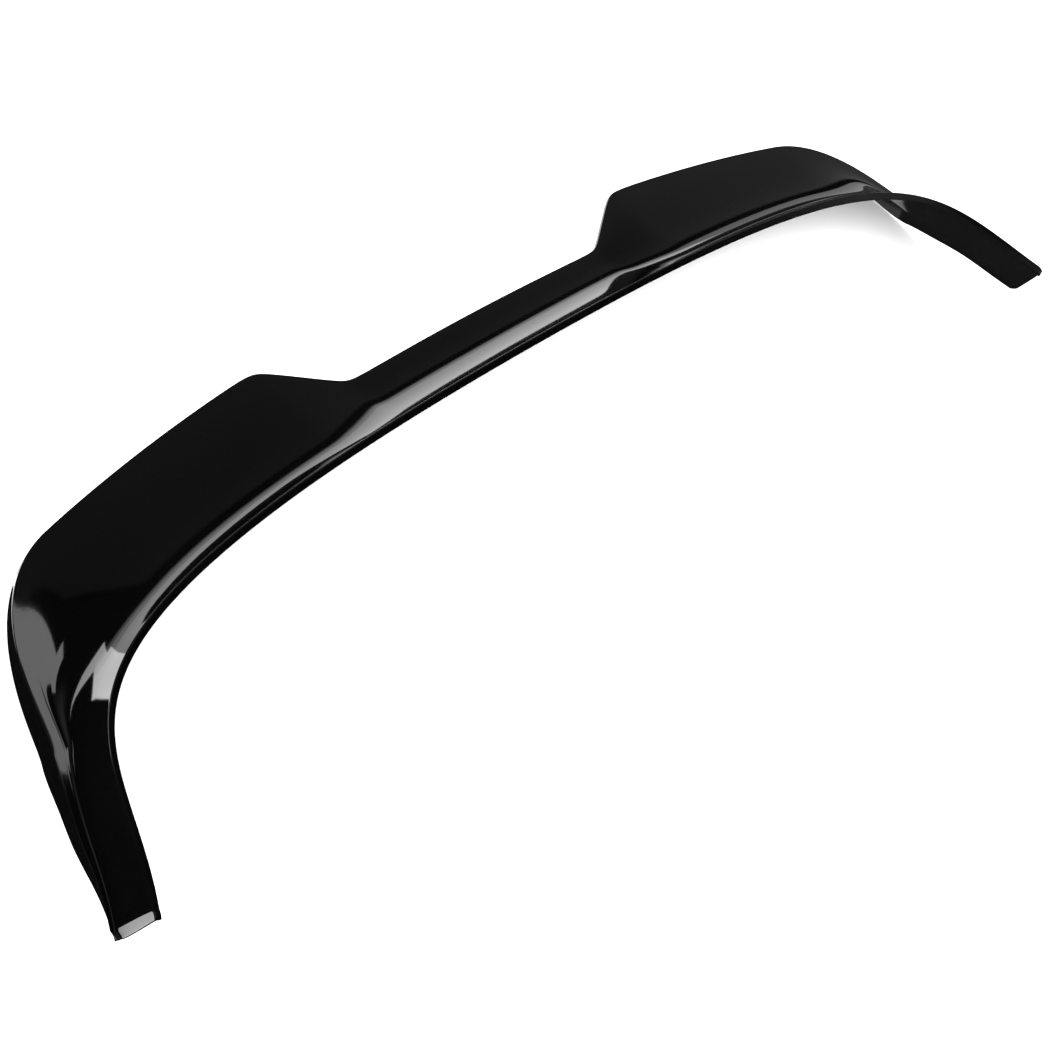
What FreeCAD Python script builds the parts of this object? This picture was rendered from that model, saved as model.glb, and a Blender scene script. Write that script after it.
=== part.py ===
"""One-piece moulded car spoiler: a thin shell with a kicked-up lip, two bonding tabs and swept-back arms."""
import FreeCAD, Part
import math
import os
import Sketcher
from FreeCAD import Vector

NODE = "spoiler_shell"

# Driving dimensions in millimetres and degrees: X across the car, +Y to its front, Z up from the floor.
SIZES = {
    # Crest of the lip: control points of a cubic curve from the middle of the car to the tip of an arm
    "crest_mid_y": 58.46,
    "crest_mid_z": 55.76,
    "crest_mid_reach": 597.0,
    "crest_arm_x": 525.7,
    "crest_arm_y": -31.44,
    "crest_arm_z": 91.36,
    "crest_tip_x": 584.0,
    "crest_tip_y": -158.64,
    "crest_tip_z": 86.26,
    # Breadth in plan, from the outer edge in to the crest
    "bar_width": 107.6,
    "bar_swell": 25.1,
    "arm_width": 17.3,
    "arm_width_taper": 47.6,
    # Side face that turns down along the outer edge
    "bar_side": 4.0,
    "arm_side": 9.4,
    "arm_side_taper": 53.0,
    "side_angle": 80.0,
    "hem_share": 0.18,
    "shoulder_rise": 1.0,
    # Plate that narrows to a ledge along the arm
    "ledge": 4.5,
    "plate_fall": 0.07,
    # Band that sweeps up to the crest, and the rim that closes it
    "band_height": 47.8,
    "bar_run": 30.3,
    "arm_run": 14.7,
    "bar_rim": 8.6,
    "arm_rim": 7.0,
    "rim_tilt": 19.0,
    # Wall of the moulding and the bevel at each tip: its length and how far the skin sinks over it
    "wall": 2.8,
    "tip_bevel": 7.0,
    "tip_sink": 4.0,
    # Notch in the front edge between the two tabs, and how far its outline runs on past them
    "notch_back_y": 119.46,
    "notch_bow": 4.0,
    "notch_half": 164.0,
    "tab_inner_x": 231.0,
    "tab_front_y": 168.96,
    "tab_edge_fall": 9.0,
    "notch_radius": 12.0,
    "tab_radius": 18.0,
    "notch_clear": 60.0,
}

# Shares of the crest's length: where the bar turns into the arm, and how many sections a half has
CORNER_START = 0.38
CORNER_SPAN = 0.28
HALF_STEPS = 18
# Rounding of the shoulder and of the sweep as shares of the faces beside them, and how softly the ledge sets in
SHOULDER_SHARE = 0.22
SWEEP_SHARE = 0.5
LEDGE_SOFTNESS = 4.0
# Shares of the bevel's sinking at the hem and at the lip
HEM_SINK = 0.3
LIP_SINK = 0.4
SEW_GAP = 0.001


def unit(vector):
    return vector / vector.Length


def inside(direction):
    """Normal that points from the outer skin into the wall."""
    return Vector(-direction.y, direction.x, 0)


def offset_corner(point, arriving, leaving, wall):
    """Corner of the wall's inner side that faces a corner of its outer side."""
    first = inside(arriving)
    second = inside(leaving)
    return point + (first + second) * (wall / (1 + first.dot(second)))


def arm_share(place):
    """Rises smoothly from 0 in the bar to 1 in the arm over the corner."""
    step = min(1.0, max(0.0, (place - CORNER_START) / CORNER_SPAN))
    return step * step * (3 - 2 * step)


def blend(bar_size, arm_size, arm):
    return bar_size * (1 - arm) + arm_size * arm


class Section:
    """Upright section of the shell at one place along the crest, 0 in the middle of the car and 1 at the tip.

    It is drawn as X out from the crest and Y up, and set into the part by its crest and plan direction.
    """

    def __init__(self, size, place, mirrored=False):
        left = 1 - place
        bezier = (left ** 3 + 3 * left ** 2 * place, 3 * left * place ** 2, place ** 3)
        controls = [Vector(0, size["crest_mid_y"], size["crest_mid_z"]),
                    Vector(size["crest_arm_x"], size["crest_arm_y"], size["crest_arm_z"]),
                    Vector(size["crest_tip_x"], size["crest_tip_y"], size["crest_tip_z"])]
        handle = Vector(size["crest_mid_reach"], 0, 0)
        self.crest = (controls[0] * bezier[0] + controls[1] * bezier[1] + controls[2] * bezier[2]
                      + handle * (3 * left ** 2 * place))
        along = (handle * left ** 2 + (controls[1] - controls[0] - handle) * (2 * left * place)
                 + (controls[2] - controls[1]) * place ** 2)
        self.along = unit(Vector(along.x, along.y, 0))
        self.out = Vector(-self.along.y, self.along.x, 0)
        self.mirrored = mirrored
        self.wall = size["wall"]
        self.set_corners(size, place)

    def set_corners(self, size, place):
        arm = arm_share(place)
        swell = max(0.0, 1 - place / CORNER_START) ** 2
        width = blend(size["bar_width"] + size["bar_swell"] * swell,
                      size["arm_width"] + size["arm_width_taper"] * (1 - place), arm)
        side = blend(size["bar_side"], size["arm_side"] + size["arm_side_taper"] * (1 - place), arm)
        run = blend(size["bar_run"], size["arm_run"], arm)
        rim = blend(size["bar_rim"], size["arm_rim"], arm)
        rise = size["shoulder_rise"] * 4 * arm * (1 - arm)
        lean = (side + rise) / math.tan(math.radians(size["side_angle"]))
        room = width - run - size["ledge"]
        foot = (lean + room - math.hypot(lean - room, LEDGE_SOFTNESS)) / 2
        fall = size["plate_fall"] * (width - run - foot)
        band = size["band_height"]
        tilt = math.atan2(band, run) - math.radians(size["rim_tilt"])
        self.edge = Vector(width, -band - side - fall, 0)
        self.hem = self.edge + Vector(0, size["hem_share"] * side, 0)
        self.shoulder = Vector(width - foot, rise - band - fall, 0)
        self.valley = Vector(run, -band, 0)
        self.top = Vector(0, 0, 0)
        self.rim = Vector(-math.sin(tilt), -math.cos(tilt), 0) * rim

    def strips(self):
        """Control points of each strip round the wall, from the hem over the lip and back along the underside."""
        side_way = unit(self.shoulder - self.hem)
        plate_way = unit(self.valley - self.shoulder)
        band_way = unit(self.top - self.valley)
        rim_way = unit(self.rim - self.top)
        plate = (self.valley - self.shoulder).Length
        side = (self.shoulder - self.hem).Length
        bend = SHOULDER_SHARE * plate * side / (plate + side)
        bend_start = self.shoulder - side_way * bend
        bend_end = self.shoulder + plate_way * bend
        sweep_start = self.valley - plate_way * (SWEEP_SHARE * plate)
        inner_shoulder = offset_corner(self.shoulder, side_way, plate_way, self.wall)
        inner_valley = offset_corner(self.valley, plate_way, band_way, self.wall)
        inner_crest = offset_corner(self.top, band_way, rim_way, self.wall)
        inner_rim = self.rim + inside(rim_way) * self.wall
        inner_edge = inner_shoulder - side_way * ((inner_shoulder.y - self.edge.y) / side_way.y)
        inner_sweep = sweep_start + inside(plate_way) * self.wall
        outlines = ((self.edge, self.hem), (self.hem, bend_start), (bend_start, self.shoulder, bend_end),
                    (bend_end, sweep_start), (sweep_start, self.valley, self.top), (self.top, self.rim),
                    (self.rim, inner_rim), (inner_rim, inner_crest), (inner_crest, inner_valley, inner_sweep),
                    (inner_sweep, inner_shoulder), (inner_shoulder, inner_edge), (inner_edge, self.edge))
        return [[self.placed(point) for point in outline] for outline in outlines]

    def placed(self, point):
        spot = self.crest + self.out * point.x + Vector(0, 0, point.y)
        if self.mirrored:
            spot.x = -spot.x
        return spot

    def past_tip(self, size):
        """Carries the section on past the tip, where the skin sinks into a bevel between its two edges."""
        sink = inside(unit(self.top - self.valley)) * size["tip_sink"]
        self.crest += self.along * size["tip_bevel"]
        self.hem += sink * HEM_SINK
        self.shoulder += sink
        self.valley += sink
        self.top += sink * LIP_SINK
        self.rim += sink * LIP_SINK
        return self


def end_knots(degree):
    """Knots and multiplicities of a single span."""
    return [0.0, 1.0], [degree + 1, degree + 1]


def swept_face(rows, places):
    """Face through one strip of every section, smooth along the shell."""
    columns = []
    for column in zip(*rows):
        curve = Part.BSplineCurve()
        curve.interpolate(Points=list(column), Parameters=places)
        columns.append(curve)
    degree = len(columns) - 1
    knots, mults = end_knots(degree)
    along = columns[0]
    surface = Part.BSplineSurface()
    surface.buildFromPolesMultsKnots(list(zip(*(curve.getPoles() for curve in columns))),
                                     along.getMultiplicities(), mults, along.getKnots(), knots,
                                     False, False, along.Degree, degree)
    return surface.toShape()


def bevel_face(first, second):
    """Straight face between the same strip of two sections."""
    degree = len(first) - 1
    knots, mults = end_knots(degree)
    step_knots, step_mults = end_knots(1)
    surface = Part.BSplineSurface()
    surface.buildFromPolesMultsKnots([first, second], step_mults, mults, step_knots, knots, False, False, 1, degree)
    return surface.toShape()


def end_face(strips):
    """Flat face that closes the wall at the end of the bevel."""
    edges = []
    for strip in strips:
        curve = Part.BezierCurve()
        curve.setPoles(strip)
        edges.append(curve.toShape())
    return Part.Face(Part.Wire(edges))


def make_shell(size):
    """The whole moulding before its notch, closed at both tips."""
    places = [index / HALF_STEPS for index in range(-HALF_STEPS, HALF_STEPS + 1)]
    sections = [Section(size, abs(place), place < 0).strips() for place in places]
    faces = [swept_face(rows, places) for rows in zip(*sections)]
    for section, mirrored in ((sections[0], True), (sections[-1], False)):
        end = Section(size, 1.0, mirrored).past_tip(size).strips()
        faces += [bevel_face(first, second) for first, second in zip(section, end)]
        faces.append(end_face(end))
    shell = Part.makeShell(faces)
    shell.sewShape(SEW_GAP)
    solid = Part.makeSolid(shell)
    if solid.Volume < 0:
        solid.reverse()
    return solid


def make_sheet(doc):
    """Sheet of the driving dimensions, and the same sizes read back from it."""
    sheet = doc.addObject("Spreadsheet::Sheet", "sizes")
    for row, (alias, value) in enumerate(SIZES.items(), start=1):
        sheet.set(f"A{row}", alias)
        sheet.set(f"B{row}", str(value))
        sheet.setAlias(f"B{row}", alias)
    doc.recompute()
    return {alias: float(sheet.get(alias)) for alias in SIZES}


def origin_plane(body, role):
    return next(feature for feature in body.Origin.OriginFeatures if feature.Role == role)


def arc(centre, start, end):
    """Arc that runs anticlockwise from start to end."""
    first = start - centre
    last = end - centre
    begin = math.atan2(first.y, first.x)
    finish = math.atan2(last.y, last.x)
    if finish < begin:
        finish += 2 * math.pi
    return Part.ArcOfCircle(Part.Circle(centre, Vector(0, 0, 1), first.Length), begin, finish)


class Rounding:
    """Rounded corner between two directions: its tangent points and the centre of its arc."""

    def __init__(self, point, arriving, leaving, radius):
        half = arriving.getAngle(leaving) / 2
        reach = radius * math.tan(half)
        self.start = point - arriving * reach
        self.end = point + leaving * reach
        self.centre = point + unit(leaving - arriving) * (radius / math.cos(half))


def dimension(sketch, name, formula, constraint):
    """Names a dimension of a sketch and ties it to the sheet."""
    index = sketch.addConstraint(constraint)
    sketch.renameConstraint(index, name)
    sketch.setExpression(f"Constraints.{name}", formula)


def draw_notch(body, size):
    """Right half of the notch: its bowed back edge, the slanted side of the tab and the tab's rounded corner."""
    sketch = body.newObject("Sketcher::SketchObject", "notch_outline")
    sketch.AttachmentSupport = [(origin_plane(body, "XY_Plane"), "")]
    sketch.MapMode = "FlatFace"
    root = Vector(size["notch_half"], size["notch_back_y"], 0)
    tab = Vector(size["tab_inner_x"], size["tab_front_y"], 0)
    middle = Vector(0, root.y + size["notch_bow"], 0)
    bow_radius = (root.x ** 2 + size["notch_bow"] ** 2) / (2 * size["notch_bow"])
    bow_centre = middle - Vector(0, bow_radius, 0)
    fall = math.radians(size["tab_edge_fall"])
    back_way = unit(Vector(root.y - bow_centre.y, -root.x, 0))
    slant_way = unit(tab - root)
    front_way = Vector(math.cos(fall), -math.sin(fall), 0)
    inner = Rounding(root, back_way, slant_way, size["notch_radius"])
    outer = Rounding(tab, slant_way, front_way, size["tab_radius"])
    clear = Vector(0, size["notch_clear"], 0)
    front_end = outer.end + front_way * size["tab_radius"]
    far_right = Vector(front_end.x, tab.y, 0) + clear
    far_middle = Vector(0, tab.y, 0) + clear
    sketch.addGeometry([
        arc(bow_centre, inner.start, middle),
        arc(inner.centre, inner.start, inner.end),
        Part.LineSegment(inner.end, outer.start),
        arc(outer.centre, outer.end, outer.start),
        Part.LineSegment(outer.end, front_end),
        Part.LineSegment(front_end, far_right),
        Part.LineSegment(far_right, far_middle),
        Part.LineSegment(far_middle, middle),
    ], False)
    sketch.addGeometry([Part.Point(root), Part.Point(tab)], True)
    bow, root_arc, slant, tab_arc, front, right, top, centre, root_mark, tab_mark = range(10)
    start, end, hub, origin, upright = 1, 2, 3, -1, -2
    for joint in ((bow, start, root_arc, start), (root_arc, end, slant, start), (slant, end, tab_arc, end),
                  (tab_arc, start, front, start)):
        sketch.addConstraint(Sketcher.Constraint("Tangent", *joint))
    for joint in ((front, end, right, start), (right, end, top, start), (top, end, centre, start),
                  (centre, end, bow, end)):
        sketch.addConstraint(Sketcher.Constraint("Coincident", *joint))
    for mark, line in ((root_mark, bow), (root_mark, slant), (tab_mark, slant), (tab_mark, front)):
        sketch.addConstraint(Sketcher.Constraint("PointOnObject", mark, start, line))
    for item, place in ((bow, hub), (centre, start), (centre, end)):
        sketch.addConstraint(Sketcher.Constraint("PointOnObject", item, place, upright))
    sketch.addConstraint(Sketcher.Constraint("Vertical", right))
    sketch.addConstraint(Sketcher.Constraint("Horizontal", top))
    for alias, kind, places in (
            ("notch_half", "DistanceX", (origin, start, root_mark, start)),
            ("notch_back_y", "DistanceY", (origin, start, root_mark, start)),
            ("notch_bow", "DistanceY", (root_mark, start, bow, end)),
            ("tab_inner_x", "DistanceX", (origin, start, tab_mark, start)),
            ("tab_front_y", "DistanceY", (origin, start, tab_mark, start)),
            ("notch_clear", "DistanceY", (tab_mark, start, top, start)),
            ("notch_radius", "Radius", (root_arc,)),
            ("tab_radius", "Radius", (tab_arc,))):
        dimension(sketch, alias, f"sizes.{alias}", Sketcher.Constraint(kind, *places, size[alias]))
    dimension(sketch, "front_length", "sizes.tab_radius", Sketcher.Constraint("Distance", front, size["tab_radius"]))
    dimension(sketch, "front_turn", "-sizes.tab_edge_fall * 1 deg", Sketcher.Constraint("Angle", front, -fall))
    return sketch


def check(doc):
    """Stops the build where a feature failed without a message."""
    for item in doc.Objects:
        if "Invalid" in item.State or "Error" in item.State:
            raise RuntimeError(f"{item.Name} failed: {item.State}")


def main():
    doc = FreeCAD.newDocument("spoiler")
    size = make_sheet(doc)
    moulding = doc.addObject("Part::Feature", "moulding")
    moulding.Shape = make_shell(size)
    body = doc.addObject("PartDesign::Body", NODE)
    body.Label = NODE
    body.BaseFeature = moulding
    outline = draw_notch(body, size)
    notch = body.newObject("PartDesign::Pocket", "notch")
    notch.Profile = outline
    notch.Type = "ThroughAll"
    notch.SideType = "Symmetric"
    doc.recompute()
    check(doc)
    both = body.newObject("PartDesign::Mirrored", "both_notches")
    both.Originals = [notch]
    both.MirrorPlane = (origin_plane(body, "YZ_Plane"), [""])
    body.Tip = both
    doc.recompute()
    check(doc)
    shape = body.Shape
    if shape.isNull() or not shape.isValid() or shape.Volume >= notch.Shape.Volume:
        raise RuntimeError("the shell isn't a valid solid with its notch cut")
    os.makedirs("parts", exist_ok=True)
    shape.exportStep(f"parts/{body.Label}.step")


main()
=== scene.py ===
"""Studio picture of a one-piece gloss-black car spoiler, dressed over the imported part."""
import logging
from dataclasses import dataclass
from enum import Enum
from typing import Any

import bpy
import numpy as np
from mathutils import Matrix, Quaternion, Vector

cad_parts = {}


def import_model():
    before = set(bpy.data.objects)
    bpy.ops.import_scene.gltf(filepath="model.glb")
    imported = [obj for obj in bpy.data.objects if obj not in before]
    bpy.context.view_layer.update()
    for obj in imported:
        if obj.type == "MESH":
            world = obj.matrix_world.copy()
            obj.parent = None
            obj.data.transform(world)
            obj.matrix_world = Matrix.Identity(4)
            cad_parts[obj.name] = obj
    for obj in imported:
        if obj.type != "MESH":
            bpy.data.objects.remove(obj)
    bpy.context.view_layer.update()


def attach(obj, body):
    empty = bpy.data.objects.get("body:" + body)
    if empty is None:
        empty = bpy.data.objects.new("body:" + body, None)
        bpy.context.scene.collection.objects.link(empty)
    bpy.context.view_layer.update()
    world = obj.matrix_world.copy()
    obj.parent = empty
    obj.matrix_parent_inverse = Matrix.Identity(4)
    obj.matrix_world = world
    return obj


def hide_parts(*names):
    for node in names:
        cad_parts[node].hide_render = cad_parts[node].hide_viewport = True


LOG = logging.getLogger("spoiler")
UNDER_MASK = "under_side"
SURFACE_NODE = "Principled BSDF"
WHITE = (1.0, 1.0, 1.0, 1.0)

# Points along the roundings of the section, and where points lie on its straight stretches
TIGHT_STEPS = 4
HEM_STEPS = 5
RIM_STEPS = 6
CREST_STEPS = 8
SHOULDER_STEPS = 12
UNDER_SWEEP_STEPS = 18
SWEEP_STEPS = 30
STRAIGHT_SHARES = (0.04, 0.5, 0.96)

# Stations of one half as start, end and count, and the tries that find the notch
EVEN_STATIONS = (0.0, 1.0, 240)
TAB_STATIONS = (0.07, 0.17, 70)
BEVEL_STATIONS = (0.0, 1.0, 9)
BEVEL_CROWDING = 1.5
STATION_DIGITS = 5
NOTCH_TRIES = 8

# Height of the studio's overhead panels, their brightness and their turn in degrees
OVERHEAD_HEIGHT = 1.86
OVERHEAD_GLOW = 3.0
OVERHEAD_ROLL = -45.0


class Side(Enum):
    """Side of the moulding that a point of the section lies on."""

    SHOW = 0.0
    UNDER = 1.0


@dataclass(frozen=True)
class Corner:
    """One corner of the section's closed outline.

    Args:
        point: places of the corner, one row per station, as distance out from the crest and height.
        before: length of the rounding on the side that arrives at the corner.
        after: length of the rounding on the side that leaves it.
        steps: points along the rounding.
        side: side of the moulding that the corner lies on.
    """

    point: np.ndarray
    before: np.ndarray | float
    after: np.ndarray | float
    steps: int
    side: Side


@dataclass(frozen=True)
class Skin:
    """Corners of the outer skin at every station, from the outer edge to the end of the rim.

    Args:
        edge: lower edge of the side face.
        hem: top of the side face's upright hem.
        shoulder: corner between the side face and the plate.
        valley: corner between the plate and the lip, which the sweep rounds off.
        crest: top of the lip.
        rim: lower edge of the rim face.
    """

    edge: np.ndarray
    hem: np.ndarray
    shoulder: np.ndarray
    valley: np.ndarray
    crest: np.ndarray
    rim: np.ndarray


def unit(vectors: np.ndarray) -> np.ndarray:
    """Vectors of length one along the last axis."""
    return vectors / np.linalg.norm(vectors, axis=-1, keepdims=True)


def length(vectors: np.ndarray) -> np.ndarray:
    """Lengths of the vectors along the last axis."""
    return np.linalg.norm(vectors, axis=-1)


def inside(direction: np.ndarray) -> np.ndarray:
    """Normals that point from the outer skin into the wall, for directions along the section."""
    return np.stack([-direction[:, 1], direction[:, 0]], axis=1)


def offset_corner(point: np.ndarray, arriving: np.ndarray, leaving: np.ndarray,
                  wall: float) -> np.ndarray:
    """Inner corners that face outer ones: p + wall (n1 + n2) / (1 + n1 . n2)."""
    first, second = inside(arriving), inside(leaving)
    return point + wall * (first + second) / (1 + (first * second).sum(1, keepdims=True))


def soft_least(first: np.ndarray, second: np.ndarray, softness: float) -> np.ndarray:
    """Smaller of two values, rounded where they meet: (a + b - sqrt((a - b)^2 + s^2)) / 2."""
    return (first + second - np.hypot(first - second, softness)) / 2


@dataclass(frozen=True)
class SpoilerShell:
    """The moulding: its sizes in metres and degrees, and the formulas of its surface.

    The crest of the lip is a cubic Bezier curve in plan and height. A station u runs from 0 in the
    middle of the car to 1 at the tip of an arm, and on to 2 over the bevel at the tip. Each section
    stands upright on the curve's plan normal. Its sizes blend from the bar to the arm with
    s = t^2 (3 - 2 t), where t runs from 0 to 1 over the corner.

    Args:
        name: name of the piece.
        node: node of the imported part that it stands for.
        crest_mid: crest in the middle of the car.
        crest_reach: how far the crest's second control point lies beside the first.
        crest_arm: third control point of the crest.
        crest_tip: crest at the tip of the arm.
        corner_start: station where the bar begins to turn into the arm.
        corner_span: stations that the turn takes.
        bar_width: breadth in plan from the crest to the outer edge of the bar.
        bar_swell: what the middle of the bar adds to that.
        arm_width: breadth of the arm at its tip.
        arm_width_taper: what it gains towards the middle of the car.
        bar_side: height of the side face along the bar.
        arm_side: height of the side face at the tip of the arm.
        arm_side_taper: what it gains towards the middle of the car.
        side_angle: slope of the side face.
        hem_share: share of the side face that stands upright at its foot.
        shoulder_rise: rise of the shoulder in the corner.
        shoulder_share: rounding of the shoulder as a share of the faces beside it.
        bar_sweep: share of the bar's plate that bends up into the lip.
        arm_sweep: share of the arm's ledge that does.
        sweep_run: distance in plan from the crest to the foot of the bar's lip.
        sweep_lift: lift of that foot above the plate.
        corner_run: how much further out the foot lies in the corner.
        arm_rise: share of the arm's lip that is bent.
        ripple: slight wave in the breadth round the end of the corner.
        ripple_place: station of the wave's middle.
        ripple_span: stations that the wave takes.
        ledge: breadth of the ledge along the arm.
        ledge_softness: how softly the ledge sets in.
        plate_fall: slope of the plate towards its outer edge.
        band_height: height of the lip above the plate.
        bar_run: distance in plan from the crest to the inner line of the bar's plate.
        arm_run: the same distance on the arm.
        bar_rim: depth of the rim face along the bar.
        arm_rim: depth of the rim face along the arm.
        rim_tilt: lean of the rim face against the lip.
        wall: wall of the moulding.
        tip_bevel: length of the bevel at the tip.
        tip_sink: depth of the bevel.
        tip_ease: how softly the bevel sets in.
        edge_sink: share of that depth at the outer edge.
        hem_sink: share of the bevel's moves at the hem.
        lip_sink: share of that depth at the crest and the rim.
        tip_pull: how far the outer edge draws up over the bevel.
        lip_pull: share of that by which the lip draws down.
        notch_back: place of the notch's back edge.
        notch_bow: bow of that edge.
        notch_half: half the length of that edge.
        tab_inner: distance of a tab's inner corner from the middle of the car.
        tab_front: place of the tabs' front edges.
        notch_softness: rounding at the ends of the notch's back edge.
        tab_softness: rounding of the tabs' inner corners.
        crest_round: rounding of the crest and the rim.
        edge_round: rounding of the other edges.
    """

    name: str = "spoiler"
    node: str = "spoiler_shell"
    crest_mid: tuple[float, float, float] = (0.0, 0.05846, 0.05576)
    crest_reach: float = 0.597
    crest_arm: tuple[float, float, float] = (0.5257, -0.03144, 0.09136)
    crest_tip: tuple[float, float, float] = (0.584, -0.15864, 0.08626)
    corner_start: float = 0.38
    corner_span: float = 0.28
    bar_width: float = 0.1076
    bar_swell: float = 0.0251
    arm_width: float = 0.0173
    arm_width_taper: float = 0.046
    bar_side: float = 0.004
    arm_side: float = 0.0094
    arm_side_taper: float = 0.053
    side_angle: float = 80.0
    hem_share: float = 0.18
    shoulder_rise: float = 0.001
    shoulder_share: float = 0.22
    bar_sweep: float = 0.9
    arm_sweep: float = 0.5
    sweep_run: float = 0.027
    sweep_lift: float = 0.004
    corner_run: float = 0.012
    arm_rise: float = 0.6
    ripple: float = 0.0015
    ripple_place: float = 0.635
    ripple_span: float = 0.23
    ledge: float = 0.0045
    ledge_softness: float = 0.004
    plate_fall: float = 0.07
    band_height: float = 0.0478
    bar_run: float = 0.0303
    arm_run: float = 0.0147
    bar_rim: float = 0.0086
    arm_rim: float = 0.007
    rim_tilt: float = 19.0
    wall: float = 0.0028
    tip_bevel: float = 0.007
    tip_sink: float = 0.004
    tip_ease: float = 0.15
    edge_sink: float = 0.35
    hem_sink: float = 0.55
    lip_sink: float = 0.4
    tip_pull: float = 0.004
    lip_pull: float = 0.6
    notch_back: float = 0.11946
    notch_bow: float = 0.004
    notch_half: float = 0.164
    tab_inner: float = 0.231
    tab_front: float = 0.16896
    notch_softness: float = 0.006
    tab_softness: float = 0.008
    crest_round: float = 0.0012
    edge_round: float = 0.0006

    def controls(self) -> np.ndarray:
        """The crest's four control points, the second level with the first."""
        mid = np.array(self.crest_mid)
        return np.stack([mid, mid + [self.crest_reach, 0, 0], self.crest_arm, self.crest_tip])

    def along(self, u: np.ndarray) -> np.ndarray:
        """Plan directions of the crest, from the curve's first derivative.

        Args:
            u: stations along the crest.

        Returns:
            Directions of length one as (stations, 2).
        """
        place = np.minimum(u, 1)
        left = 1 - place
        weights = np.stack([left ** 2, 2 * left * place, place ** 2], axis=1)
        return unit((weights @ np.diff(self.controls(), axis=0))[:, :2])

    def crest(self, u: np.ndarray) -> np.ndarray:
        """Points of the crest, sum of B_k(u) c_k, which runs straight on past the tip.

        Args:
            u: stations along the crest.

        Returns:
            Points as (stations, 3).
        """
        place = np.minimum(u, 1)
        left = 1 - place
        weights = np.stack([left ** 3, 3 * left ** 2 * place, 3 * left * place ** 2, place ** 3],
                           axis=1)
        points = weights @ self.controls()
        points[:, :2] += self.along(u) * (self.tip_bevel * (u - place))[:, None]
        return points

    def arm_share(self, u: np.ndarray) -> np.ndarray:
        """Share of the arm in the section's sizes: s = t^2 (3 - 2 t)."""
        step = np.clip((u - self.corner_start) / self.corner_span, 0, 1)
        return step * step * (3 - 2 * step)

    def blend(self, u: np.ndarray, bar_size: np.ndarray | float,
              arm_size: np.ndarray | float) -> np.ndarray:
        """Mix from the bar's size to the arm's: (1 - s) bar + s arm."""
        arm = self.arm_share(u)
        return bar_size * (1 - arm) + arm_size * arm

    def corner_hump(self, u: np.ndarray, size: float) -> np.ndarray:
        """Size that is reached only halfway round the corner: 4 size s (1 - s)."""
        arm = self.arm_share(u)
        return size * 4 * arm * (1 - arm)

    def full_width(self, u: np.ndarray) -> np.ndarray:
        """Breadth in plan without the notch.

        The bar swells with the square of the way left to the corner, and the arm tapers evenly.
        A slight wave a cos(2 pi w) exp(-w^2) is added, with w counted in its span from its middle.

        Args:
            u: stations along the crest.

        Returns:
            Breadth at every station.
        """
        place = np.minimum(u, 1)
        swell = np.clip(1 - place / self.corner_start, 0, None) ** 2
        full = self.blend(u, self.bar_width + self.bar_swell * swell,
                          self.arm_width + self.arm_width_taper * (1 - place))
        wave = (place - self.ripple_place) / self.ripple_span
        return full + self.ripple * np.cos(2 * np.pi * wave) * np.exp(-wave ** 2)

    def notch_width(self, u: np.ndarray) -> np.ndarray:
        """Distance from the crest to the notch between the tabs, found by a few tries.

        The notch's back edge is y = b + w (1 - (x / h)^2), its side a straight slant, and the
        larger y of the two holds.

        Args:
            u: stations along the crest.

        Returns:
            Distance at every station.
        """
        crest, way = self.crest(u), self.along(u)
        slope = (self.tab_front - self.notch_back) / (self.tab_inner - self.notch_half)
        width = np.full_like(u, self.bar_width)
        for _ in range(NOTCH_TRIES):
            x = crest[:, 0] - way[:, 1] * width
            back = self.notch_back + self.notch_bow * (1 - (x / self.notch_half) ** 2)
            slant = self.notch_back + slope * (x - self.notch_half)
            width = (-soft_least(-back, -slant, self.notch_softness) - crest[:, 1]) / way[:, 0]
        return width

    def skin(self, u: np.ndarray) -> Skin:
        """Corners of the outer skin, as distance out from the crest and height.

        The width is the smaller of the full width and the notch. The ledge keeps its breadth where
        the side face would lean over it. The foot of the lip lies a little above the plate along
        the bar, and further out in the corner.

        Args:
            u: stations along the crest.

        Returns:
            The corners at every station.
        """
        place = np.minimum(u, 1)
        full = self.full_width(u)
        bar = place < self.corner_start
        notched = soft_least(full, self.notch_width(place * bar), self.tab_softness)
        width = np.where(bar, notched, full)
        side = self.blend(u, self.bar_side, self.arm_side + self.arm_side_taper * (1 - place))
        run = self.blend(u, self.bar_run, self.arm_run)
        rise = self.corner_hump(u, self.shoulder_rise)
        lean = (side + rise) / np.tan(np.radians(self.side_angle))
        foot = soft_least(lean, full - run - self.ledge, self.ledge_softness)
        fall = self.plate_fall * (width - run - foot)
        near = self.blend(u, self.sweep_run, self.arm_run) + self.corner_hump(u, self.corner_run)
        lift = self.plate_fall * (run - near) + self.blend(u, self.sweep_lift, 0)
        tilt = np.arctan2(self.band_height, run) - np.radians(self.rim_tilt)
        rim_way = np.stack([-np.sin(tilt), -np.cos(tilt)], axis=1)
        nought = np.zeros_like(u)
        edge = np.stack([width, -self.band_height - side - fall], axis=1)
        return self.bevelled(u, Skin(
            edge=edge,
            hem=edge + np.stack([nought, self.hem_share * side], axis=1),
            shoulder=np.stack([width - foot, rise - self.band_height - fall], axis=1),
            valley=np.stack([near, lift - self.band_height], axis=1),
            crest=np.stack([nought, nought], axis=1),
            rim=self.blend(u, self.bar_rim, self.arm_rim)[:, None] * rim_way))

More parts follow.
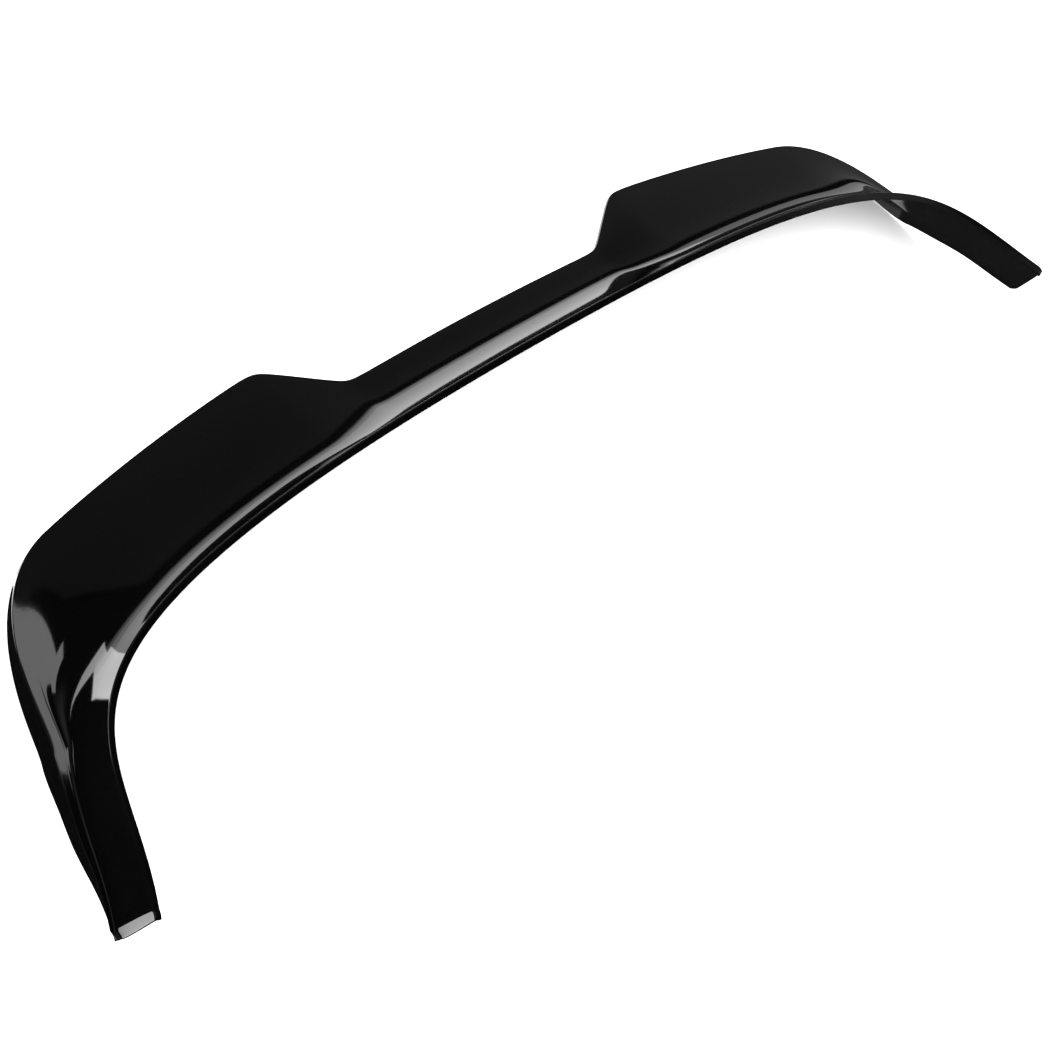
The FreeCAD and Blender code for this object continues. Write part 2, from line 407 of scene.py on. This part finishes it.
    def bevelled(self, u: np.ndarray, skin: Skin) -> Skin:
        """Skin with the bevel past its tip.

        With v counted from the tip, k = (sqrt(v^2 + e^2) - e) / (sqrt(1 + e^2) - e). The corners
        sink by d k along the band's inward normal, the outer edge draws up the side face by p k^2,
        and the lip draws down its band by a share of that.

        Args:
            u: stations along the crest.
            skin: corners of the skin, carried on past the tip.

        Returns:
            The corners with the bevel.
        """
        past, ease = u - np.minimum(u, 1), self.tip_ease
        sunk = ((np.hypot(past, ease) - ease) / (np.hypot(1, ease) - ease))[:, None]
        sink = self.tip_sink * sunk * inside(unit(skin.crest - skin.valley))
        pull = self.tip_pull * sunk ** 2
        up = pull * unit(skin.shoulder - skin.hem)
        down = self.lip_pull * pull * unit(skin.valley - skin.crest)
        return Skin(
            edge=skin.edge + self.edge_sink * sink + up,
            hem=skin.hem + self.hem_sink * (sink + up),
            shoulder=skin.shoulder + sink,
            valley=skin.valley + sink,
            crest=skin.crest + self.lip_sink * sink + down,
            rim=skin.rim + self.lip_sink * sink + down)

    def corners(self, u: np.ndarray) -> list[Corner]:
        """Corners of the section's closed outline, from the outer edge over the lip and back.

        The shoulder's rounding is a share of p f / (p + f), with p and f the lengths of the plate
        and the side face. The sweep takes a share of the plate before it and of the lip after it.

        Args:
            u: stations along the crest.

        Returns:
            The corners in their order round the wall.
        """
        skin, arm = self.skin(u), self.arm_share(u)
        side_way, plate_way = unit(skin.shoulder - skin.hem), unit(skin.valley - skin.shoulder)
        band_way, rim_way = unit(skin.crest - skin.valley), unit(skin.rim - skin.crest)
        plate, face = length(skin.valley - skin.shoulder), length(skin.shoulder - skin.hem)
        bend = self.shoulder_share * plate * face / (plate + face)
        sweep = self.bar_sweep + (self.arm_sweep - self.bar_sweep) * arm
        rise = 1 + (self.arm_rise - 1) * arm
        small, tight = self.crest_round, self.edge_round
        band = rise * (length(skin.crest - skin.valley) - 2 * small)
        under_shoulder = offset_corner(skin.shoulder, side_way, plate_way, self.wall)
        under_valley = offset_corner(skin.valley, plate_way, band_way, self.wall)
        under_crest = offset_corner(skin.crest, band_way, rim_way, self.wall)
        under_rim = skin.rim + inside(rim_way) * self.wall
        drop = (under_shoulder[:, 1] - skin.edge[:, 1]) / side_way[:, 1]
        under_edge = under_shoulder - side_way * drop[:, None]
        under_band = length(under_crest - under_valley) - 2 * tight
        under_sweep = sweep * length(under_valley - under_shoulder)
        return [Corner(skin.edge, tight, tight, TIGHT_STEPS, Side.SHOW),
                Corner(skin.hem, tight, tight, HEM_STEPS, Side.SHOW),
                Corner(skin.shoulder, bend, bend, SHOULDER_STEPS, Side.SHOW),
                Corner(skin.valley, sweep * plate, band, SWEEP_STEPS, Side.SHOW),
                Corner(skin.crest, small, small, CREST_STEPS, Side.SHOW),
                Corner(skin.rim, small, small, RIM_STEPS, Side.SHOW),
                Corner(under_rim, tight, tight, TIGHT_STEPS, Side.UNDER),
                Corner(under_crest, tight, tight, TIGHT_STEPS, Side.UNDER),
                Corner(under_valley, under_band, under_sweep, UNDER_SWEEP_STEPS, Side.UNDER),
                Corner(under_shoulder, tight, tight, TIGHT_STEPS, Side.UNDER),
                Corner(under_edge, tight, tight, TIGHT_STEPS, Side.UNDER)]

    def outline(self, u: np.ndarray) -> tuple[np.ndarray, np.ndarray]:
        """Points round the section at every station, and the side that each lies on.

        Each corner p between directions a and b is rounded by the curve
        (1 - t)^2 (p - before a) + 2 t (1 - t) p + t^2 (p + after b), and a few points lie on each
        straight stretch.

        Args:
            u: stations along the crest.

        Returns:
            Points as (stations, points, 2) and sides as (points,).
        """
        corners = self.corners(u)
        followers = corners[1:] + corners[:1]
        ways = [unit(after.point - here.point) for here, after in zip(corners, followers)]
        starts = [corner.point - way * np.reshape(corner.before, (-1, 1))
                  for corner, way in zip(corners, ways[-1:] + ways)]
        ends = [corner.point + way * np.reshape(corner.after, (-1, 1))
                for corner, way in zip(corners, ways)]
        share = np.array(STRAIGHT_SHARES)[:, None, None]
        points: list[np.ndarray] = []
        sides: list[float] = []
        for corner, start, end, onward in zip(corners, starts, ends, starts[1:] + starts[:1]):
            t = np.linspace(0, 1, corner.steps)[:, None, None]
            bend = (1 - t) ** 2 * start + 2 * t * (1 - t) * corner.point + t ** 2 * end
            points += [bend, end + (onward - end) * share]
            sides += [corner.side.value] * (len(t) + len(share))
        return np.concatenate(points).transpose(1, 0, 2), np.array(sides)

    def stations(self) -> np.ndarray:
        """Stations of the right half, closer together past the notch's end and over the bevel.

        Returns:
            Rising stations from 0 to 2.
        """
        even, tab = np.linspace(*EVEN_STATIONS), np.linspace(*TAB_STATIONS)
        bevel = 1 + np.linspace(*BEVEL_STATIONS) ** BEVEL_CROWDING
        return np.unique(np.round(np.concatenate([even, tab, bevel]), STATION_DIGITS))

    def surface(self) -> tuple[np.ndarray, np.ndarray]:
        """Grid of points over the whole moulding, from the left tip to the right one.

        A point (q, h) of the section at u lies at crest(u) + q n(u) + h z, and the left half
        mirrors the right.

        Returns:
            Points as (stations, points, 3) and sides as (points,).
        """
        u = self.stations()
        section, sides = self.outline(u)
        crest, way = self.crest(u), self.along(u)
        normal = np.stack([-way[:, 1], way[:, 0]], axis=1)
        plan = crest[:, None, :2] + normal[:, None, :] * section[:, :, :1]
        right = np.concatenate([plan, crest[:, None, 2:] + section[:, :, 1:]], axis=2)
        left = right[1:][::-1] * np.array([-1, 1, 1])
        return np.concatenate([left, right]), sides

    def build(self) -> bpy.types.Object:
        """Makes the moulding as one closed mesh with a mask of its underside."""
        rows, sides = self.surface()
        return LoopMesh(self.name, rows, sides).build()

    def dress(self, piece: bpy.types.Object, finish: "GlossFinish") -> None:
        """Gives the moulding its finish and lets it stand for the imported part's node.

        Args:
            piece: the moulding.
            finish: its finish.
        """
        piece.data.materials.append(finish.build())
        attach(piece, "root")
        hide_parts(self.node)


@dataclass(frozen=True)
class LoopMesh:
    """Closed mesh made of rows of points, each row a closed loop, with a flat face over each end.

    Args:
        name: name of the object.
        rows: points as (rows, points, 3).
        sides: side of the moulding that each point of a row lies on.
    """

    name: str
    rows: np.ndarray
    sides: np.ndarray

    def faces(self) -> tuple[np.ndarray, np.ndarray]:
        """Faces between each row and the next, and over both ends.

        Returns:
            Corner numbers of all faces in one list, and the number of corners of each face.
        """
        count, width = self.rows.shape[:2]
        here = np.arange(width)
        after = np.roll(here, -1)
        base = np.arange(count - 1)[:, None] * width
        quads = np.stack([base + here, base + after, base + width + after, base + width + here],
                         axis=2)
        caps = np.stack([here[::-1], here + (count - 1) * width])
        totals = np.concatenate([np.full(quads.shape[0] * quads.shape[1], 4), np.full(2, width)])
        return np.concatenate([quads.ravel(), caps.ravel()]), totals

    def build(self) -> bpy.types.Object:
        """Makes the object, with the side of the moulding as an attribute.

        Returns:
            The object, at the origin.
        """
        corners, totals = self.faces()
        starts = np.concatenate([[0], np.cumsum(totals)[:-1]])
        mesh = bpy.data.meshes.new(self.name)
        mesh.vertices.add(self.rows.shape[0] * self.rows.shape[1])
        mesh.vertices.foreach_set("co", self.rows.astype(np.float32).ravel())
        mesh.loops.add(len(corners))
        mesh.loops.foreach_set("vertex_index", corners.astype(np.int32))
        mesh.polygons.add(len(totals))
        mesh.polygons.foreach_set("loop_start", starts.astype(np.int32))
        mesh.polygons.foreach_set("loop_total", totals.astype(np.int32))
        mesh.polygons.foreach_set("use_smooth", totals == 4)
        mesh.update(calc_edges=True)
        mask = mesh.attributes.new(UNDER_MASK, "FLOAT", "POINT")
        mask.data.foreach_set("value", np.tile(self.sides, len(self.rows)).astype(np.float32))
        mesh.validate()
        piece = bpy.data.objects.new(self.name, mesh)
        bpy.context.scene.collection.objects.link(piece)
        return piece


class Graph:
    """Node tree of a material or of the surroundings, with one way to add a node.

    Args:
        tree: node tree to add to.
    """

    def __init__(self, tree: bpy.types.NodeTree) -> None:
        """Keeps the tree."""
        self.tree = tree

    def feed(self, node: bpy.types.Node, inputs: dict[str | int, Any]) -> None:
        """Sets a node's sockets to plain values, or links them to other nodes' values.

        Args:
            node: node whose sockets are set.
            inputs: values or links by socket.
        """
        for key, item in inputs.items():
            if isinstance(item, Value):
                self.tree.links.new(item.socket, node.inputs[key])
            else:
                node.inputs[key].default_value = item

    def add(self, kind: str, settings: dict[str, Any] | None = None,
            inputs: dict[str | int, Any] | None = None, output: str | int = 0) -> "Value":
        """Adds a node.

        Args:
            kind: type of the node.
            settings: the node's own settings, which are set first.
            inputs: values or links of its sockets.
            output: socket that the result comes from.

        Returns:
            The node's result.
        """
        node = self.tree.nodes.new(kind)
        for key, item in (settings or {}).items():
            setattr(node, key, item)
        self.feed(node, inputs or {})
        return Value(self, node.outputs[output])


class Value:
    """A shader value that adds maths nodes through Python's own operators.

    Args:
        graph: node tree that the value belongs to.
        socket: output socket that carries it.
    """

    def __init__(self, graph: Graph, socket: bpy.types.NodeSocket) -> None:
        """Keeps the tree and the socket."""
        self.graph = graph
        self.socket = socket

    def math(self, operation: str, other: "Value | float") -> "Value":
        """A maths node on this value and another."""
        return self.graph.add("ShaderNodeMath", {"operation": operation}, {0: self, 1: other})

    def __add__(self, other: "Value | float") -> "Value":
        """Sum."""
        return self.math("ADD", other)

    def __mul__(self, other: "Value | float") -> "Value":
        """Product."""
        return self.math("MULTIPLY", other)

    def __truediv__(self, other: "Value | float") -> "Value":
        """Quotient."""
        return self.math("DIVIDE", other)

    def __pow__(self, other: "Value | float") -> "Value":
        """Power."""
        return self.math("POWER", other)

    def __neg__(self) -> "Value":
        """Opposite."""
        return self * -1.0

    def __rsub__(self, other: float) -> "Value":
        """Number less this value."""
        return -self + other

    __radd__ = __add__
    __rmul__ = __mul__

    def at_least(self, other: "Value | float") -> "Value":
        """Larger of this value and another."""
        return self.math("MAXIMUM", other)

    def at_most(self, other: "Value | float") -> "Value":
        """Smaller of this value and another."""
        return self.math("MINIMUM", other)

    def between(self, first: "Value | float", second: "Value | float") -> "Value":
        """Plain mix: first where this value is 0 and second where it is 1."""
        return (1 - self) * first + self * second

    def ramp(self, low: float, high: float) -> "Value":
        """Soft rise from 0 at the low value to 1 at the high one."""
        return self.graph.add("ShaderNodeMapRange", {"interpolation_type": "SMOOTHSTEP"},
                              {"Value": self, "From Min": low, "From Max": high})

    def colours(self, first: "Value | tuple[float, ...]",
                second: "Value | tuple[float, ...]") -> "Value":
        """Mix of two colours: first where this value is 0 and second where it is 1."""
        return self.graph.add("ShaderNodeMix", {"data_type": "RGBA"},
                              {0: self, 6: first, 7: second}, 2)


@dataclass(frozen=True)
class GlossFinish:
    """Finish of the moulding: polished black outside, satin as moulded underneath.

    Args:
        slot: the record's name for the finish.
        show_dark: deepest colour of the polished skin.
        show_pale: colour of the polished skin where its haze is strongest.
        under_dark: deepest colour of the underside.
        under_pale: colour of the underside's grain.
        show_rough: roughness of the polished skin, least and most.
        under_rough: roughness of the underside, least and most.
        haze_scale: patches of haze to a metre.
        haze_detail: finer layers in the haze.
        peel_scale: ripples of the polished skin to a metre.
        peel_detail: finer layers in the ripples.
        peel_depth: depth of the ripples in metres.
        grain_scale: grains of the underside to a metre.
        grain_detail: finer layers in the grain.
        grain_depth: depth of the grain against that of the ripples.
        ior: refractive index of the plastic.
    """

    slot: str = "gloss_black"
    show_dark: tuple[float, ...] = (0.0002, 0.0002, 0.00025, 1.0)
    show_pale: tuple[float, ...] = (0.0006, 0.0006, 0.0007, 1.0)
    under_dark: tuple[float, ...] = (0.0005, 0.0005, 0.00055, 1.0)
    under_pale: tuple[float, ...] = (0.0014, 0.0014, 0.0015, 1.0)
    show_rough: tuple[float, float] = (0.035, 0.075)
    under_rough: tuple[float, float] = (0.14, 0.24)
    haze_scale: float = 9.0
    haze_detail: float = 4.0
    peel_scale: float = 320.0
    peel_detail: float = 1.0
    peel_depth: float = 0.000004
    grain_scale: float = 1800.0
    grain_detail: float = 3.0
    grain_depth: float = 4.0
    ior: float = 1.5

    def build(self) -> bpy.types.Material:
        """Makes the material from object coordinates and the mask of the underside.

        Returns:
            The material, named as its slot.
        """
        material = bpy.data.materials.new(self.slot)
        material.use_nodes = True
        graph = Graph(material.node_tree)
        place = graph.add("ShaderNodeTexCoord", output="Object")
        under = graph.add("ShaderNodeAttribute", {"attribute_name": UNDER_MASK}, output="Fac")
        patterns = ((self.haze_scale, self.haze_detail), (self.peel_scale, self.peel_detail),
                    (self.grain_scale, self.grain_detail))
        haze, peel, grain = (
            graph.add("ShaderNodeTexNoise",
                      inputs={"Vector": place, "Scale": scale, "Detail": detail})
            for scale, detail in patterns)
        colour = under.colours(haze.colours(self.show_dark, self.show_pale),
                               grain.colours(self.under_dark, self.under_pale))
        rough = under.between(haze.between(*self.show_rough), grain.between(*self.under_rough))
        relief = under.between(peel, grain * self.grain_depth)
        bump = graph.add("ShaderNodeBump", inputs={"Distance": self.peel_depth, "Height": relief})
        graph.feed(material.node_tree.nodes[SURFACE_NODE],
                   {"Base Color": colour, "Roughness": rough, "Normal": bump, "IOR": self.ior})
        return material


@dataclass(frozen=True)
class Panel:
    """Soft rectangular studio light.

    Args:
        name: name of the light.
        place: centre of the panel in metres.
        aim: point that the panel faces.
        size: breadth and height of the panel in metres.
        glow: brightness of its face.
        roll: turn of the panel about its own axis in degrees.
    """

    name: str
    place: tuple[float, float, float]
    aim: tuple[float, float, float]
    size: tuple[float, float]
    glow: float
    roll: float = 0.0

    @classmethod
    def overhead(cls, name: str, spot: tuple[float, float], size: tuple[float, float]) -> "Panel":
        """Panel high above a spot of the floor, which it faces."""
        return cls(name, (*spot, OVERHEAD_HEIGHT), (*spot, 0.0), size, OVERHEAD_GLOW, OVERHEAD_ROLL)

    @classmethod
    def card(cls, name: str, place: tuple[float, float, float], size: tuple[float, float],
             glow: float) -> "Panel":
        """Pale card just under the floor that faces up, for the reflections of a light table."""
        return cls(name, place, (*place[:2], 1.0), size, glow)

    def build(self) -> None:
        """Makes the light, whose power is pi times its area times its brightness."""
        data = bpy.data.lights.new(self.name, "AREA")
        data.shape = "RECTANGLE"
        data.size, data.size_y = self.size
        data.energy = np.pi * self.size[0] * self.size[1] * self.glow
        lamp = bpy.data.objects.new(self.name, data)
        lamp.location = self.place
        lamp.rotation_mode = "QUATERNION"
        facing = (Vector(self.aim) - Vector(self.place)).to_track_quat("-Z", "Y")
        lamp.rotation_quaternion = facing @ Quaternion((0, 0, 1), np.radians(self.roll))
        lamp.visible_camera = False
        bpy.context.scene.collection.objects.link(lamp)


@dataclass(frozen=True)
class Room:
    """Light from all round: even on the floor, and a darker room for reflections.

    A direction's x points to the car's right, y to its front and z up. Each ramp gives the values
    between which a part of the room fades in.

    Args:
        ambient: even light on floor and object.
        glossy_ambient: what the darkest part of the room adds to reflections.
        sky_glow: brightness of the room in front.
        sky_rise: how fast it grows brighter towards the right-hand side.
        sky_power: power of the turn that it grows with.
        sky_most: how far round that goes on.
        sky_least: least way to the front that counts for the turn.
        sky_edges: normals of the two planes that bound the front on the left.
        edge_ramp: ramp along those normals.
        rise_ramp: ramp of the front with height.
        front_ramp: ramp of the front towards the front.
        back_glow: brightness of the room behind and to the left.
        rear_ramp: ramp of the rear towards the rear.
        rear_rise: ramp of the rear with height.
        left_ramp: ramp of the left towards the left.
        left_rise: ramp of the left with height.
    """

    ambient: float = 3.0
    glossy_ambient: float = 0.008
    sky_glow: float = 0.055
    sky_rise: float = 0.065
    sky_power: float = 1.6
    sky_most: float = 3.6
    sky_least: float = 0.1
    sky_edges: tuple[tuple[float, ...], ...] = ((0.978, -0.208, 0.0), (0.868, 0.233, -0.438))
    edge_ramp: tuple[float, float] = (0.0, 0.03)
    rise_ramp: tuple[float, float] = (0.02, 0.1)
    front_ramp: tuple[float, float] = (0.0, 0.15)
    back_glow: float = 0.4
    rear_ramp: tuple[float, float] = (0.05, 0.7)
    rear_rise: tuple[float, float] = (0.05, 0.35)
    left_ramp: tuple[float, float] = (0.45, 0.85)
    left_rise: tuple[float, float] = (0.05, 0.3)

    def front(self, x: Value, y: Value, z: Value) -> Value:
        """Brightness of the front: (rise t^p + glow) inside its bounds, with t = x / y.

        Args:
            x: direction's part to the right.
            y: direction's part to the front.
            z: direction's part upwards.

        Returns:
            The brightness.
        """
        turn = (x / y.at_least(self.sky_least)).at_least(0.0).at_most(self.sky_most)
        first, second = (x * edge[0] + y * edge[1] + z * edge[2] for edge in self.sky_edges)
        bounds = (first.at_most(second).ramp(*self.edge_ramp) * z.ramp(*self.rise_ramp)
                  * y.ramp(*self.front_ramp))
        return (turn ** self.sky_power * self.sky_rise + self.sky_glow) * bounds

    def back(self, x: Value, y: Value, z: Value) -> Value:
        """Brightness of the rear and the left, each fading in to one side and with height.

        Args:
            x: direction's part to the right.
            y: direction's part to the front.
            z: direction's part upwards.

        Returns:
            The brightness.
        """
        rear = (-y).ramp(*self.rear_ramp) * z.ramp(*self.rear_rise)
        left = (-x).ramp(*self.left_ramp) * z.ramp(*self.left_rise)
        return (rear + left) * self.back_glow

    def build(self) -> None:
        """Makes the surroundings, which glossy rays see as the room and all others as even."""
        world = bpy.data.worlds.new("studio")
        world.use_nodes = True
        graph = Graph(world.node_tree)
        glossy = graph.add("ShaderNodeLightPath", output="Is Glossy Ray")
        heading = graph.add("ShaderNodeTexCoord", output="Generated")
        parts = [graph.add("ShaderNodeSeparateXYZ", inputs={0: heading}, output=axis)
                 for axis in "XYZ"]
        room = self.front(*parts) + self.back(*parts) + self.glossy_ambient
        graph.feed(world.node_tree.nodes["Background"],
                   {"Color": WHITE, "Strength": glossy.between(self.ambient, room)})
        bpy.context.scene.world = world


@dataclass(frozen=True)
class Studio:
    """Plain pale floor, soft light and a camera at the photograph's angle.

    Args:
        camera_place: the camera's place in metres.
        camera_right: direction of the picture's right-hand side.
        camera_up: direction of the picture's top.
        focal_pixels: focal length in pixels of the picture.
        picture_pixels: breadth of the picture in pixels.
        sensor: breadth of the camera's sensor in millimetres.
        floor_half: half the breadth of the floor.
        floor_shade: grey of the floor.
        floor_rough: roughness of the floor.
        room: light from all round.
        panels: the soft lights.
    """

    camera_place: tuple[float, float, float] = (-0.8558, -0.22754, 1.08266)
    camera_right: tuple[float, float, float] = (0.6876, -0.6138, 0.3879)
    camera_up: tuple[float, float, float] = (0.454, 0.7803, 0.4301)
    focal_pixels: float = 1500.0
    picture_pixels: float = 1050.0
    sensor: float = 36.0
    floor_half: float = 12.0
    floor_shade: float = 0.85
    floor_rough: float = 0.9
    room: Room = Room()
    panels: tuple[Panel, ...] = (
        Panel.overhead("high", (-0.587, 1.57), (2.15, 0.45)),
        Panel.overhead("high_side", (-1.0, 1.474), (1.7, 0.27)),
        Panel.overhead("high_end", (-1.7, 2.687), (1.0, 1.3)),
        Panel.card("table_far", (0.2, 0.2875, -0.013), (1.6, 0.345), 0.6),
        Panel.card("table_mid", (-0.075, 0.2375, -0.012), (1.05, 0.245), 0.7),
        Panel.card("table_near", (-0.09, 0.1975, -0.011), (1.02, 0.145), 0.7),
        Panel.card("table_right", (0.77, 0.0475, -0.013), (0.46, 0.135), 0.6),
        Panel.card("table_left", (-0.55, 0.2275, -0.01), (0.1, 0.225), 4.0),
        Panel.card("table_end", (-0.735, 0.72, -0.01), (0.43, 0.76), 4.0),
        Panel.card("tip", (-0.66, -0.1625, -0.01), (0.08, 0.075), 4.0),
    )

    def build(self) -> None:
        """Makes the floor, the lights, the surroundings and the camera."""
        bpy.context.scene.view_settings.view_transform = "Standard"
        self.floor()
        for panel in self.panels:
            panel.build()
        self.room.build()
        self.camera()

    def floor(self) -> bpy.types.Object:
        """Large flat square under the part, which reflections pass over.

        Returns:
            The floor.
        """
        half = self.floor_half
        points = [(-half, -half, 0), (half, -half, 0), (half, half, 0), (-half, half, 0)]
        mesh = bpy.data.meshes.new("floor")
        mesh.from_pydata(points, [], [(0, 1, 2, 3)])
        material = bpy.data.materials.new("floor")
        material.use_nodes = True
        grey = (self.floor_shade,) * 3 + (1.0,)
        Graph(material.node_tree).feed(material.node_tree.nodes[SURFACE_NODE],
                                       {"Base Color": grey, "Roughness": self.floor_rough})
        mesh.materials.append(material)
        floor = bpy.data.objects.new("floor", mesh)
        floor.visible_glossy = False
        floor.visible_shadow = False
        bpy.context.scene.collection.objects.link(floor)
        return floor

    def camera(self) -> None:
        """Camera whose axes and focal length follow the photograph."""
        data = bpy.data.cameras.new("camera")
        data.sensor_width = self.sensor
        data.lens = self.focal_pixels / self.picture_pixels * self.sensor
        camera = bpy.data.objects.new("camera", data)
        right, up = Vector(self.camera_right), Vector(self.camera_up)
        turn = Matrix((right, up, right.cross(up))).transposed().to_4x4()
        camera.matrix_world = Matrix.Translation(self.camera_place) @ turn
        bpy.context.scene.collection.objects.link(camera)
        bpy.context.scene.camera = camera


def main() -> None:
    """Builds the spoiler and its studio."""
    logging.basicConfig(level=logging.INFO)
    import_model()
    shell = SpoilerShell()
    piece = shell.build()
    shell.dress(piece, GlossFinish())
    LOG.info("%s: %d faces", piece.name, len(piece.data.polygons))
    Studio().build()


if __name__ == "__main__":
    main()
